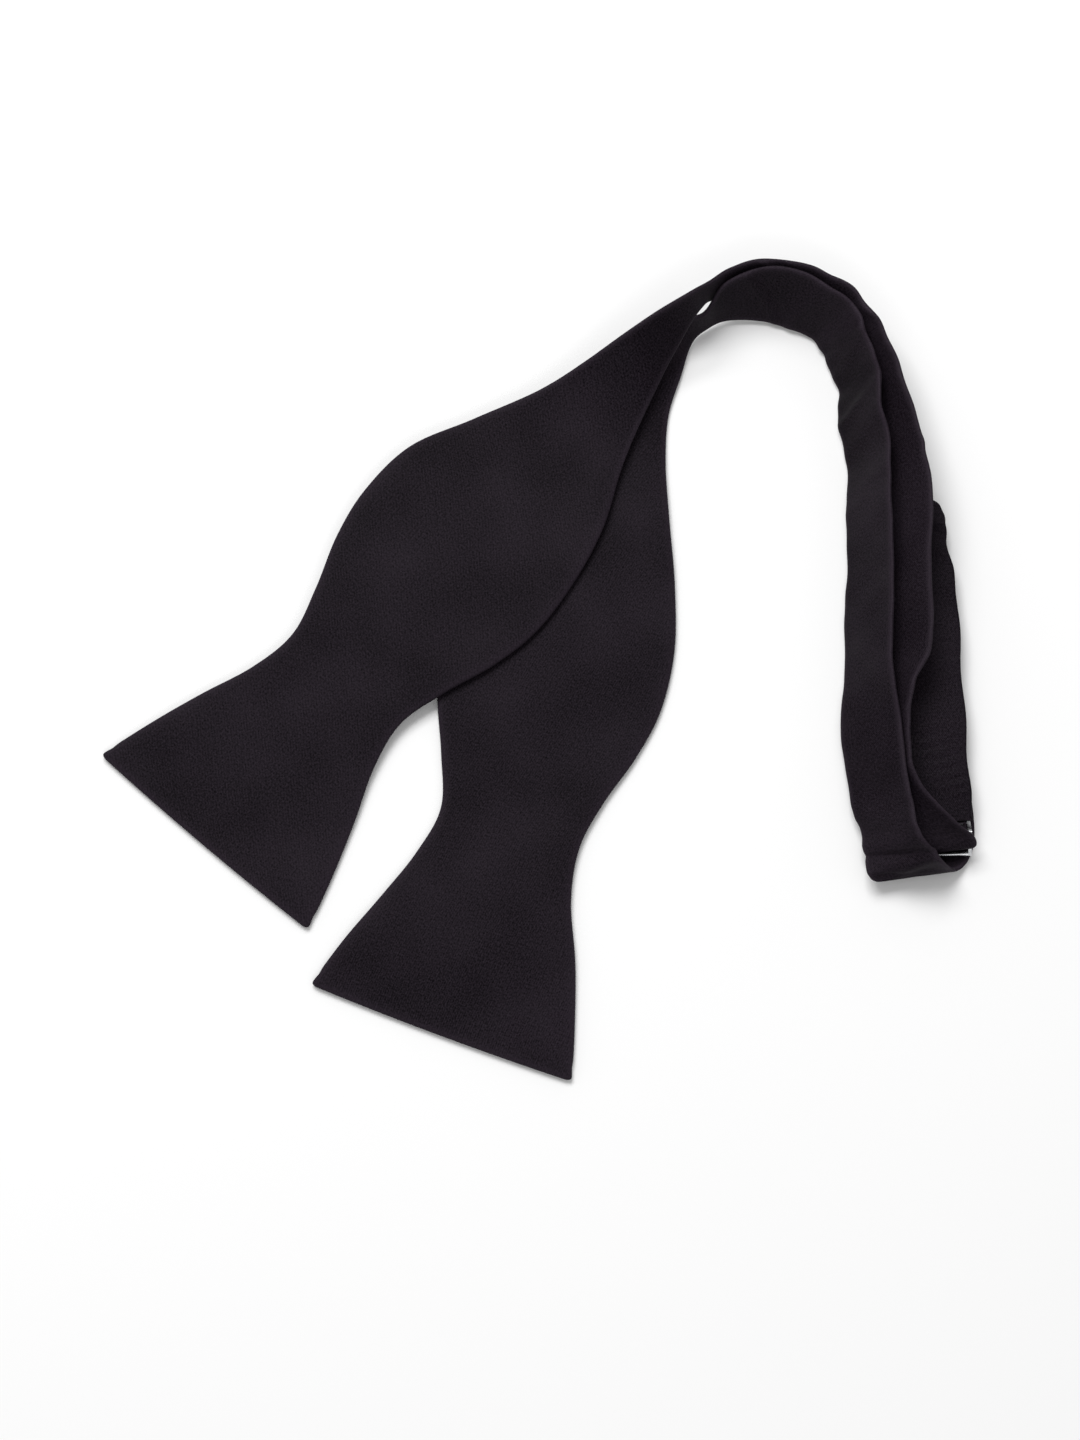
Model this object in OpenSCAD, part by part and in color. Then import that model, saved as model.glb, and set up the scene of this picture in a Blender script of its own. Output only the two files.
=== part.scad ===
// Self-tie butterfly bow tie, lying untied and folded on a table.
// Two cloth halves lie one over the other. Each is a blade, a narrow band that stands on its
// edge round the arch, and an end that turns back under at the bottom fold. One end holds the
// eye. The other is the adjuster strap: it runs through the slide and round the hook.

/* [Blades] */
// Width across each blade's tip
tip_w = 65; // [60:0.5:70]
// Width at the blade's waist
waist_w = 34; // [32:0.5:36]
// Width at the blade's belly
belly_w = 54; // [52:0.5:56]
// Thickness of a blade, cloth and lining together
blade_t = 1.8; // [1.5:0.1:1.9]
// Thickness of one cloth panel of a blade
blade_cloth = 0.4; // [0.3:0.05:0.45]

/* [Band] */
// Width of the neck band
band_w = 18; // [17.5:0.1:18.2]
// Thickness of the band, cloth and lining together
band_t = 1.1; // [0.9:0.05:1.1]
// Thickness of one cloth panel of the band
band_cloth = 0.22; // [0.15:0.01:0.25]
// Width of the closed rim where the two panels are seamed
rim_w = 1; // [0.8:0.1:1.2]
// Room between a panel and the lining inside it
ease = 0.08; // [0.05:0.01:0.1]

/* [Slide] */
// Width inside the slide, between its cheeks
slide_in_w = 15.8; // [15.6:0.1:16.2]
// Diameter of the slide's three bars
slide_bar_d = 1; // [0.8:0.05:1]
// Distance from the middle bar to each outer bar
slide_pitch = 4.4; // [4.2:0.1:4.6]
// Thickness of each cheek
cheek_t = 0.8; // [0.6:0.1:1]

/* [Hook and eye] */
// Width inside the hook and the eye, where the cloth passes
clasp_in_w = 9.6; // [9.4:0.1:9.8]
// Diameter of the bars that the cloth wraps
clasp_bar_d = 1; // [0.8:0.05:1]
// Width of the metal round the windows
clasp_rim = 1.2; // [1:0.1:1.3]
// Thickness of the stamped metal
clasp_t = 0.9; // [0.7:0.05:0.9]
// Length of the eye, from its bar to its far end
eye_l = 8; // [7.5:0.1:8.5]
// Length of the hook, from its bar to its bend
hook_l = 8.5; // [8:0.1:9]
// Width of the hook's tongue
tongue_w = 5; // [4:0.5:5.5]

/* [Hidden] */
$fn = 48;

satin = "#1d1a20";
satin_back = "#242027";
lining_cloth = "#8d887c";
steel = "#c9ccd0";
thread = "#2d2a31";

function mix(a, b, k) = a + (b - a) * k;

// Half widths of a blade from the tip to just past the belly
blade_half = [
    tip_w / 2, mix(waist_w, tip_w, 0.75) / 2, mix(waist_w, tip_w, 0.45) / 2,
    mix(waist_w, tip_w, 0.13) / 2, waist_w / 2, mix(waist_w, belly_w, 0.31) / 2,
    mix(waist_w, belly_w, 0.77) / 2, belly_w / 2, mix(belly_w, band_w, 0.06) / 2
];
band_half = band_w / 2;

// A station is [x, y, z, compass angle and slope of the width line, half width].
// The width line points to the outer edge, which is the upper one where the band stands up.
// The lower half: blade, neck, arch, right run, bottom turn, and the end under the pack.
lower_blade_line = [
    [-23, -87.4, 1, 159.5], [-18.7, -75.2, 1, 159.5], [-14.4, -63, 1, 160.5],
    [-10.8, -50.4, 1, 162], [-7, -38.8, 1, 163], [-4.2, -26.8, 1, 162],
    [-0.9, -14.2, 1, 161], [3, -1.8, 1, 161], [7.4, 12.4, 1, 161]
];
lower_band_line = [
    [11.8, 27, 1, 161, 0, 2.39], [15.8, 41.5, 1, 162, 0, 1.77], [18.8, 54.5, 1.3, 162, 2, 1.33],
    [21.8, 66, 2.3, 161, 8, 1.09], [27.4, 75.6, 4, 157, 24, 0.87], [33.6, 82.4, 5, 147, 52, 0.6],
    [39.5, 85.3, 5, 125, 79, 0.47], [45.5, 89.7, 7.2, 112, 66, 0.73], [56, 90.8, 8.7, 92, 62, 1],
    [66, 87.3, 8.7, 55, 61, 1], [72.9, 80.1, 8.6, 30, 61, 1], [75.9, 68, 8.6, 12, 62, 1],
    [77.5, 55, 8.6, 6, 60, 1], [78.4, 40, 8.6, 1, 60, 1], [77.8, 20, 8.5, 0, 58, 1],
    [77.2, 0, 8.2, 0, 55, 1], [77.6, -18, 7.8, 0, 45, 1], [79.2, -32, 8.3, -3, 41, 1],
    [81.9, -40.8, 9.4, -4, 31, 1], [84.6, -47.2, 8.3, -2, 6, 1], [87.4, -50.6, 4.3, 8, 0, 1],
    [91.4, -47.6, 1, 8, 0, 1], [92.9, -39, 0.6, 4, 0, 1], [91.2, -20, 0.6, 0, 0, 1],
    [90.4, 0, 0.6, 0, 0, 1], [89.7, 18, 0.6, 0, 0, 1], [87.6, 32, 0.6, 0, 0, 0.94],
    [85.2, 42, 0.6, 0, 0, 0.6], [83.2, 52, 0.6, 0, 0, 0.51]
];
// The upper half: blade, neck, arch, right run, inner turn, and the strap up to the hook.
upper_blade_line = [
    [-78.8, -42.2, 1, 139.7], [-70.4, -32.3, 1, 139.7], [-61.8, -22.1, 1.2, 139.7],
    [-53.4, -12.2, 1.8, 139.7], [-45.7, -3.1, 2.5, 139.7], [-37.9, 6.1, 3.1, 139.7],
    [-29.5, 16, 3.3, 139.7], [-21.1, 25.9, 3.4, 139.7], [-11.4, 37.3, 3.5, 139.7]
];
upper_band_line = [
    [-0.4, 47.4, 3.8, 139, 0, 2.3], [9.7, 58.2, 5, 137, 4, 1.53], [17.7, 67.3, 6.9, 136, 12, 1.08],
    [25.2, 75.7, 9.3, 135, 32, 0.8], [31, 81.6, 11.7, 133, 50, 0.63],
    [37.3, 87.3, 14.7, 127, 69, 0.44], [41, 90.7, 11.7, 122, 78, 0.51],
    [46.6, 93, 8.8, 104, 65, 0.69], [54.5, 93.4, 7.9, 92, 59, 0.91], [66.6, 89.8, 8.2, 57, 57, 1],
    [75.6, 80.9, 8.4, 30, 56, 1], [79.9, 68.1, 8.8, 15, 50, 1], [83.2, 55, 9.4, 8, 42, 1],
    [85.3, 40, 10, 1, 38, 1], [84.6, 19, 10.1, 0, 38, 1], [84.6, 1.5, 10.2, 0, 38, 0.98],
    [82.3, -6.5, 9.2, 0, 48, 0.88], [81.5, -18, 8.3, 0, 54, 0.79], [82.6, -30, 8.1, -4, 42, 0.83],
    [88, -38.6, 8, -2, 14, 0.96], [91.8, -42.9, 7, 6, 0, 1.02],
    [92.7, -45.1, 5.2, 8, 0, 1], [91.9, -43.2, 3.1, 3, 0, 0.82], [91.9, -38, 3.1, 2.2, 0, 0.84],
    [91.2, -20, 3.1, 2.2, 0, 0.84], [90.4, 0, 3.1, 2.2, 0, 0.84], [89.7, 18, 3.1, 2.2, 0, 0.84],
    [88.8, 29, 2.6, 0, 0, 0.84], [88.2, 38, 2.2, 0, 0, 0.8], [85.4, 42, 2, 0, 0, 0.51]
];
// The strap's way back from the hook to the slide
return_line = [
    [92, -38.3, 5, 2.2, 0, 1], [91.9, -35, 5, 2.2, 0, 1], [91.2, -20, 5, 2.2, 0, 1],
    [90.4, 0, 5, 2.2, 0, 1], [89.7, 18, 5, 2.2, 0, 1], [88.6, 29, 4.8, 0, 0, 0.93],
    [88.1, 38, 4.4, 0, 0, 0.88], [85.4, 42, 4.2, 0, 0, 0.51]
];

// Where each half is cut, counted in stations from its tip
lower_neck_cut = 12;
lower_fold_cut = 27.6;
upper_blade_cut = 10;
upper_neck_cut = 11;
upper_fold_cut = 28.6;
lower_end = 37;
upper_end = 38;
cut_gap = 0.04;
// Centre of the tie's underside, which the frame is moved to
origin = [-0.854, -0.349, -0.016];
tip_rim = 0.12;
rings_per_station = 3;

function stations(blade, band) = concat(
    [for (i = [0:len(blade) - 1]) concat(blade[i], [0, blade_half[i]])],
    [for (s = band) [s[0], s[1], s[2], s[3], s[4], s[5] * band_half]]
);
lower_half = stations(lower_blade_line, lower_band_line);
upper_half = stations(upper_blade_line, upper_band_line);
strap_way_back = [for (s = return_line) [s[0], s[1], s[2], s[3], s[4], s[5] * band_half]];

// Smooth curve through the stations, at t counted in stations
function spline(a, b, c, d, t) = 0.5 * (2 * b + (c - a) * t + (2 * a - 5 * b + 4 * c - d) * t * t
    + (3 * b - a - 3 * c + d) * t * t * t);
function at(line, t) = let (
    last = len(line) - 1,
    i = min(floor(t), last - 1)
) spline(line[max(i - 1, 0)], line[i], line[i + 1], line[min(i + 2, last)], t - i);
function place(s) = [s[0], s[1], s[2]] - origin;
function across(s) = [cos(s[4]) * cos(s[3]), cos(s[4]) * sin(s[3]), sin(s[4])];
function unit(v) = v / norm(v);
function upright(line, t) = let (
    step = 0.02,
    last = len(line) - 1,
    ahead = place(at(line, min(t + step, last))) - place(at(line, max(t - step, 0)))
) unit(cross(ahead, across(at(line, t))));
function ring(line, t, profile) = let (
    s = at(line, t),
    w = across(s),
    n = upright(line, t)
) [for (p = profile) place(s) + w * (p[0] * s[5] + p[1]) + n * p[2]];

// Ring parameters from one cut to the next
function steps(from, to, first) = let (
    inner = [for (k = [ceil(from * rings_per_station + 0.3):floor(to * rings_per_station - 0.3)])
        k / rings_per_station]
) concat([from], first > 0 ? [from + first] : [], inner, [to]);

// Two triangles of the side between one ring and the next. All layers share one diagonal.
function side(a0, a1, b0, b1, forward) = forward
    ? [[a0, a1, b1], [a0, b1, b0]]
    : [[a0, a1, b0], [a1, b1, b0]];
function turned(faces, flip) = flip ? [for (f = faces) [for (i = [len(f) - 1:-1:0]) f[i]]] : faces;

// A point of a profile is [share of the half width, millimetres across, millimetres up].
// Cloth panel: a shallow channel with closed rims. up is 1 for the face and -1 for the back.
module panel(line, from, to, thick, cloth, up, closed_tip = false) {
    half = thick / 2;
    seam = 0.02;
    profile = [
        [-1, 0, up * seam], [-1, 0, up * half], [1, 0, up * half], [1, 0, up * seam],
        [1, -rim_w, up * seam], [1, -rim_w, up * (half - cloth)],
        [-1, rim_w, up * (half - cloth)], [-1, rim_w, up * seam]
    ];
    ts = steps(from, to, closed_tip ? tip_rim - 0.02 : 0);
    last = len(ts) - 1;
    points = [for (t = ts) each ring(line, t, profile)];
    first_open = closed_tip ? 1 : 0;
    forward = [true, true, true, false, true, false, true, false];
    walls = [for (i = [first_open:last - 1], k = [0:7]) each side(
        8 * i + k, 8 * i + (k + 1) % 8, 8 * i + 8 + k, 8 * i + 8 + (k + 1) % 8, forward[k])];
    tip_walls = closed_tip ? concat(
        [for (k = [0:2]) each side(k, k + 1, 8 + k, 9 + k, true)],
        [[3, 0, 11], [0, 12, 11], [0, 15, 12], [0, 8, 15]],
        [[0, 3, 2], [0, 2, 1], [12, 15, 14], [12, 14, 13]]
    ) : [[0, 7, 6], [0, 6, 1], [1, 6, 5], [1, 5, 2], [2, 5, 4], [2, 4, 3]];
    e = 8 * last;
    end_walls = [
        [e, e + 1, e + 6], [e, e + 6, e + 7], [e + 1, e + 2, e + 5],
        [e + 1, e + 5, e + 6], [e + 2, e + 3, e + 4], [e + 2, e + 4, e + 5]
    ];
    polyhedron(points, turned(concat(walls, tip_walls, end_walls), up < 0));
}

// Flat strip of one thickness, set in from the edges by inset
module strip(line, from, to, half, inset) {
    profile = [[-1, inset, -half], [-1, inset, half], [1, -inset, half], [1, -inset, -half]];
    ts = steps(from, to, 0);
    last = len(ts) - 1;
    points = [for (t = ts) each ring(line, t, profile)];
    forward = [true, true, true, false];
    walls = [for (i = [0:last - 1], k = [0:3]) each side(
        4 * i + k, 4 * i + (k + 1) % 4, 4 * i + 4 + k, 4 * i + 4 + (k + 1) % 4, forward[k])];
    e = 4 * last;
    ends = [[0, 3, 2], [0, 2, 1], [e, e + 1, e + 2], [e, e + 2, e + 3]];
    polyhedron(points, concat(walls, ends));
}
// Lining: a strip that fills the room between two panels
module lining(line, from, to, thick, cloth) {
    strip(line, from, to, thick / 2 - cloth - ease, rim_w + ease);
}

/* Blades: free from the tip to the neck */
module lower_blade_face() {
    color(satin) panel(lower_half, 0, lower_neck_cut - cut_gap, blade_t, blade_cloth, 1, true);
}
module lower_blade_back() {
    color(satin_back) panel(lower_half, 0, lower_neck_cut - cut_gap, blade_t, blade_cloth, -1, true);
}
module lower_blade_lining() {
    color(lining_cloth) lining(lower_half, tip_rim, lower_neck_cut - cut_gap, blade_t, blade_cloth);
}
module upper_blade_face() {
    color(satin) panel(upper_half, 0, upper_blade_cut - cut_gap, blade_t, blade_cloth, 1, true);
}
module upper_blade_back() {
    color(satin_back) panel(upper_half, 0, upper_blade_cut - cut_gap, blade_t, blade_cloth, -1, true);
}
module upper_blade_lining() {
    color(lining_cloth) lining(upper_half, tip_rim, upper_blade_cut - cut_gap, blade_t, blade_cloth);
}
module upper_neck_face() {
    color(satin) panel(upper_half, upper_blade_cut, upper_neck_cut - cut_gap, band_t, band_cloth, 1);
}
module upper_neck_back() {
    color(satin_back)
        panel(upper_half, upper_blade_cut, upper_neck_cut - cut_gap, band_t, band_cloth, -1);
}
module upper_neck_lining() {
    color(lining_cloth)
        lining(upper_half, upper_blade_cut, upper_neck_cut - cut_gap, band_t, band_cloth);
}

/* Bands: the arch and the right run */
module lower_band_face() {
    color(satin) panel(lower_half, lower_neck_cut, lower_fold_cut - cut_gap, band_t, band_cloth, 1);
}
module lower_band_back() {
    color(satin_back)
        panel(lower_half, lower_neck_cut, lower_fold_cut - cut_gap, band_t, band_cloth, -1);
}
module lower_band_lining() {
    color(lining_cloth)
        lining(lower_half, lower_neck_cut, lower_fold_cut - cut_gap, band_t, band_cloth);
}
module upper_band_face() {
    color(satin) panel(upper_half, upper_neck_cut, upper_fold_cut - cut_gap, band_t, band_cloth, 1);
}
module upper_band_back() {
    color(satin_back)
        panel(upper_half, upper_neck_cut, upper_fold_cut - cut_gap, band_t, band_cloth, -1);
}
module upper_band_lining() {
    color(lining_cloth)
        lining(upper_half, upper_neck_cut, upper_fold_cut - cut_gap, band_t, band_cloth);
}

/* Ends: the bottom turns and the layers that lie under the bands */
module eye_end_face() {
    color(satin) panel(lower_half, lower_fold_cut, lower_end, band_t, band_cloth, 1);
}
module eye_end_back() {
    color(satin_back) panel(lower_half, lower_fold_cut, lower_end, band_t, band_cloth, -1);
}
module eye_end_lining() {
    color(lining_cloth) lining(lower_half, lower_fold_cut, lower_end, band_t, band_cloth);
}
module strap_face() {
    color(satin) panel(upper_half, upper_fold_cut, upper_end, band_t, band_cloth, 1);
}
module strap_back() {
    color(satin_back) panel(upper_half, upper_fold_cut, upper_end, band_t, band_cloth, -1);
}
module strap_lining() {
    color(lining_cloth) lining(upper_half, upper_fold_cut, upper_end, band_t, band_cloth);
}

/* Adjuster and clasp */
// Direction of the strap under the slide, from its stations at y = -38 and y = 18
strap_turn = atan2(91.9 - 89.7, 18 + 38);
// Width of the strap inside the slide, and inside the hook and the eye
strap_w = 15.1;
clasp_strap_w = 9.1;
strap_half_t = band_t / 2;
slide_at = [92.02, -41.1];
outer_bar_z = 1.9;
middle_bar_z = 5;
hem_bore = 0.06;
hem_cloth = 0.54;
hem_tail = 2.4;
eye_hem_tail = 1.25;
thread_d = 0.3;
clasp_w = clasp_in_w + 2 * clasp_rim;
// Distance from a clasp's bar to its cross-member, and the length that the tongue bends back
cross_bar_y = 2;
tongue_back = 3;
hook_at = [85.4, 42.1];
hook_bar_z = 3.1;
eye_at = [83.1, 53.3];
eye_bar_z = 1.15;

// Lays a flat outline in the plane of Y and Z and gives it a width along X
module crosswise(w) {
    rotate([90, 0, 90]) linear_extrude(w, center = true) children();
}
module rod(d, w) {
    rotate([0, 90, 0]) cylinder(d = d, h = w, center = true);
}
module leg(a, b, w) {
    translate(a) rotate(atan2(b[1] - a[1], b[0] - a[0]))
        translate([0, -w / 2]) square([norm(b - a), w]);
}
module put(p) {
    translate(p - origin) children();
}
module at_slide() {
    put([slide_at[0], slide_at[1], 0]) rotate(strap_turn) children();
}

// Cloth folded round a bar and sewn to itself. tail_z is the tail's height above the bar.
module hem(w, bar_d, tail, tail_z) {
    r = bar_d / 2 + hem_bore;
    crosswise(w) difference() {
        union() {
            circle(r + hem_cloth);
            translate([min(tail, 0), tail_z - strap_half_t]) square([abs(tail), 2 * strap_half_t]);
        }
        circle(r);
    }
}

// A row of short thread stitches along X
module stitch_row(count, w, z) {
    pitch = w / count;
    for (i = [0:count - 1])
        translate([(i - (count - 1) / 2) * pitch, 0, z]) rod(thread_d, pitch * 0.6);
}

module strap_return() {
    color(satin) strip(strap_way_back, 0, 7, strap_half_t, 0);
}

// The strap's turn round the hook's bar
module hook_loop() {
    r = clasp_bar_d / 2 + hem_bore;
    color(satin) put([hook_at[0], hook_at[1], hook_bar_z])
        crosswise(clasp_strap_w) intersection() {
            difference() {
                circle(r + band_t);
                circle(r);
            }
            translate([0, -2 * r - band_t]) square([2 * r + band_t, 2 * (2 * r + band_t)]);
        }
}

module slide_hem() {
    color(satin) at_slide() translate([0, 0, middle_bar_z]) hem(strap_w, slide_bar_d, hem_tail, 0);
}

module eye_hem() {
    color(satin) put([eye_at[0], eye_at[1], eye_bar_z])
        hem(clasp_strap_w, clasp_bar_d, -eye_hem_tail, strap_half_t - eye_bar_z + 0.05);
}

// Slide: two outer bars under the strap, a raised middle bar over it, and a cheek at each side
module slide() {
    low = [slide_pitch, outer_bar_z];
    high = [0, middle_bar_z];
    out_w = slide_in_w + 2 * cheek_t;
    color(steel) at_slide() {
        for (y = [-slide_pitch, slide_pitch])
            translate([0, y, outer_bar_z]) rod(slide_bar_d, out_w);
        translate([0, 0, middle_bar_z]) rod(slide_bar_d, out_w);
        for (s = [-1, 1])
            translate([s * (slide_in_w + cheek_t) / 2, 0, 0]) crosswise(cheek_t)
                for (m = [-1, 1]) {
                    end = [m * low[0], low[1]];
                    translate(end) circle(slide_bar_d / 2);
                    translate(high) circle(slide_bar_d / 2 + 0.1);
                    leg(end, high, slide_bar_d);
                }
    }
}

// Stamped frame, from its bar to y = l, with a cross-member past the cloth
module clasp_frame(l) {
    rod(clasp_bar_d, clasp_w);
    translate([0, 0, -clasp_t / 2]) linear_extrude(clasp_t) {
        for (s = [-1, 1])
            translate([s * (clasp_w - clasp_rim) / 2 - clasp_rim / 2, 0]) square([clasp_rim, l]);
        translate([-clasp_w / 2, cross_bar_y]) square([clasp_w, clasp_rim]);
        translate([-clasp_w / 2, l - clasp_rim]) square([clasp_w, clasp_rim]);
    }
}
module eye() {
    color(steel) put([eye_at[0], eye_at[1], eye_bar_z]) clasp_frame(eye_l);
}

// Hook: a short frame for the strap and a tongue that bends up and back
module hook() {
    bend_r = 1;
    color(steel) put([hook_at[0], hook_at[1], hook_bar_z]) {
        clasp_frame(cross_bar_y + clasp_rim);
        crosswise(tongue_w) {
            translate([cross_bar_y, -clasp_t / 2]) square([hook_l - cross_bar_y, clasp_t]);
            translate([hook_l, bend_r]) intersection() {
                difference() {
                    circle(bend_r + clasp_t / 2);
                    circle(bend_r - clasp_t / 2);
                }
                translate([0, -2 * bend_r]) square([2 * bend_r, 4 * bend_r]);
            }
            translate([hook_l - tongue_back, 2 * bend_r - clasp_t / 2]) square([tongue_back, clasp_t]);
        }
    }
}

module slide_hem_stitches() {
    color(thread) at_slide() translate([0, 1.9, middle_bar_z])
        stitch_row(8, strap_w - 1, strap_half_t + 0.15);
}
module eye_hem_stitches() {
    color(thread) put([eye_at[0], eye_at[1] - 1, eye_bar_z])
        stitch_row(5, clasp_strap_w - 1, strap_half_t + 0.4);
}

lower_blade_face();
lower_blade_back();
lower_blade_lining();
upper_blade_face();
upper_blade_back();
upper_blade_lining();
upper_neck_face();
upper_neck_back();
upper_neck_lining();
lower_band_face();
lower_band_back();
lower_band_lining();
upper_band_face();
upper_band_back();
upper_band_lining();
eye_end_face();
eye_end_back();
eye_end_lining();
strap_face();
strap_back();
strap_lining();
hook_loop();
strap_return();
slide_hem();
eye_hem();
slide();
hook();
eye();
slide_hem_stitches();
eye_hem_stitches();
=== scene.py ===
import bpy
import math
import numpy as np
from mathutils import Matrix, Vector


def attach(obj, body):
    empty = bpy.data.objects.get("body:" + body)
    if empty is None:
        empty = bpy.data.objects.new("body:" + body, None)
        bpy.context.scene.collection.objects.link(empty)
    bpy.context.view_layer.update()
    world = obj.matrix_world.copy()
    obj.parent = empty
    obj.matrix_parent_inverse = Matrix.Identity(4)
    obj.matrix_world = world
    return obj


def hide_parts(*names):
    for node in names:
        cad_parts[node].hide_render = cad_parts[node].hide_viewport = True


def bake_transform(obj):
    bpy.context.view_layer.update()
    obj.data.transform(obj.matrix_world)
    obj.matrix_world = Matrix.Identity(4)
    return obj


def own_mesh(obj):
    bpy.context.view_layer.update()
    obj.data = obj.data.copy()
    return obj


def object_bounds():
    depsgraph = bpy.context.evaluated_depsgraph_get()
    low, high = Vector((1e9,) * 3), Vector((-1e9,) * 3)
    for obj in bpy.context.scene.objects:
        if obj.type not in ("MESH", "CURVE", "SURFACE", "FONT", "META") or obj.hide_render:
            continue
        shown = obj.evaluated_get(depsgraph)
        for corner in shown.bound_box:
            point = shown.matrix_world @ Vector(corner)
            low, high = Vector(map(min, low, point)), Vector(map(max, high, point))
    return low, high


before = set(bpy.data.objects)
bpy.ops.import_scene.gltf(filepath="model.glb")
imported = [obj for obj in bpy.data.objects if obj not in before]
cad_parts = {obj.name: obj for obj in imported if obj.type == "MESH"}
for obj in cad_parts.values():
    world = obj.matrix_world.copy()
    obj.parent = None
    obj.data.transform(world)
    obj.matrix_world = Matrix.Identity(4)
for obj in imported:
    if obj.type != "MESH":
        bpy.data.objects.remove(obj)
cad_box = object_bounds()

MM = 0.001
# The model's own zero, in the millimetres that the stations are written in
ORIGIN = np.array([-0.854, -0.349, -0.016])


def row(x, y, z):
    """A point written in station millimetres, in metres in the row frame."""
    return (np.array([x, y, z], float) - ORIGIN) * MM


# ---------------------------------------------------------------- the two cloth halves
# A blade's station is x, y, z and the azimuth of the width line, and BLADE_HALF has its half width.
# A band's station adds the slope of the width line and the half width as a share of BAND.
# Lengths are in millimetres and angles in degrees.
BAND = 9.0
BLADE_HALF = [32.5, 28.6, 24.0, 19.0, 17.0, 20.1, 24.7, 27.0, 25.9]
LOWER_BLADE = [
    (-23, -87.4, 1, 159.5), (-18.7, -75.2, 1, 159.5), (-14.4, -63, 1, 160.5),
    (-10.8, -50.4, 1, 162), (-7, -38.8, 1, 163), (-4.2, -26.8, 1, 162),
    (-0.9, -14.2, 1, 161), (3, -1.8, 1, 161), (7.4, 12.4, 1, 161),
]
LOWER_BAND = [
    (11.8, 27, 1, 161, 0, 2.39), (15.8, 41.5, 1, 162, 0, 1.77), (18.8, 54.5, 1.3, 162, 2, 1.33),
    (21.8, 66, 2.3, 161, 8, 1.09), (27.4, 75.6, 4, 157, 24, 0.87), (33.6, 82.4, 5, 147, 52, 0.6),
    (39.5, 85.3, 5, 125, 79, 0.47), (45.5, 89.7, 7.2, 112, 66, 0.73), (56, 90.8, 8.7, 92, 62, 1),
    (66, 87.3, 8.7, 55, 61, 1), (72.9, 80.1, 8.6, 30, 61, 1), (75.9, 68, 8.6, 12, 62, 1),
    (77.5, 55, 8.6, 6, 60, 1), (78.4, 40, 8.6, 1, 60, 1), (77.8, 20, 8.5, 0, 58, 1),
    (77.2, 0, 8.2, 0, 55, 1), (77.6, -18, 7.8, 0, 45, 1),
    # Just above the bottom roll the cloth stands up more steeply than the CAD solid does
    (79.4, -33.5, 8.7, -3, 45, 1), (81.2, -41.2, 9.2, -3, 48, 1), (83.4, -47.2, 8.6, 2, 33, 1),
    (87.4, -50.6, 4.3, 8, 0, 1), (91.4, -47.6, 1, 8, 0, 1),
    (92.9, -39, 0.6, 4, 0, 1), (91.2, -20, 0.6, 0, 0, 1),
    (90.4, 0, 0.6, 0, 0, 1), (89.7, 18, 0.6, 0, 0, 1), (87.6, 32, 0.6, 0, 0, 0.94),
    (85.2, 42, 0.6, 0, 0, 0.6), (83.2, 52, 0.6, 0, 0, 0.51),
]
UPPER_BLADE = [
    (-78.8, -42.2, 1, 139.7), (-70.4, -32.3, 1, 139.7), (-61.8, -22.1, 1.2, 139.7),
    (-53.4, -12.2, 1.8, 139.7), (-45.7, -3.1, 2.5, 139.7), (-37.9, 6.1, 3.1, 139.7),
    (-29.5, 16, 3.3, 139.7), (-21.1, 25.9, 3.4, 139.7), (-11.4, 37.3, 3.5, 139.7),
]
UPPER_BAND = [
    (-0.4, 47.4, 3.8, 139, 0, 2.3), (9.7, 58.2, 5, 137, 4, 1.53), (17.7, 67.3, 6.9, 136, 12, 1.08),
    (25.2, 75.7, 9.3, 135, 32, 0.8), (31, 81.6, 11.7, 133, 50, 0.63),
    (37.3, 87.3, 14.7, 127, 69, 0.44), (41, 90.7, 11.7, 122, 78, 0.51),
    (46.6, 93, 8.8, 104, 65, 0.69), (54.5, 93.4, 7.9, 92, 59, 0.91), (66.6, 89.8, 8.2, 57, 57, 1),
    (75.6, 80.9, 8.4, 30, 56, 1), (79.9, 68.1, 8.8, 15, 50, 1), (83.2, 55, 9.4, 8, 42, 1),
    (85.3, 40, 10, 1, 38, 1), (84.6, 19, 10.1, 0, 38, 1), (84.6, 1.5, 10.2, 0, 38, 0.98),
    (82.3, -6.5, 9.2, 0, 48, 0.88), (81.5, -18, 8.3, 0, 54, 0.79), (82.6, -30, 8.1, -4, 42, 0.83),
    (88, -38.6, 8, -2, 14, 0.96), (91.8, -42.9, 7, 6, 0, 1.02),
    (92.7, -45.1, 5.2, 8, 0, 1), (91.9, -43.2, 3.1, 3, 0, 0.82), (91.9, -38, 3.1, 2.2, 0, 0.84),
    (91.2, -20, 3.1, 2.2, 0, 0.84), (90.4, 0, 3.1, 2.2, 0, 0.84), (89.7, 18, 3.1, 2.2, 0, 0.84),
    (88.8, 29, 2.6, 0, 0, 0.84), (88.2, 38, 2.2, 0, 0, 0.8), (85.4, 42, 2, 0, 0, 0.51),
]
STRAP_BACK = [
    (92, -38.3, 5, 2.2, 0, 1), (91.9, -35, 5, 2.2, 0, 1), (91.2, -20, 5, 2.2, 0, 1),
    (90.4, 0, 5, 2.2, 0, 1), (89.7, 18, 5, 2.2, 0, 1), (88.6, 29, 4.8, 0, 0, 0.93),
    (88.1, 38, 4.4, 0, 0, 0.88), (85.4, 42, 4.2, 0, 0, 0.51),
]


def band(stations):
    return [[x, y, z, az, slope, share * BAND] for x, y, z, az, slope, share in stations]


LOWER = np.array([[*s, 0, h] for s, h in zip(LOWER_BLADE, BLADE_HALF)] + band(LOWER_BAND), float)
UPPER = np.array([[*s, 0, h] for s, h in zip(UPPER_BLADE, BLADE_HALF)] + band(UPPER_BAND), float)
RETURN = np.array(band(STRAP_BACK), float)

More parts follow.
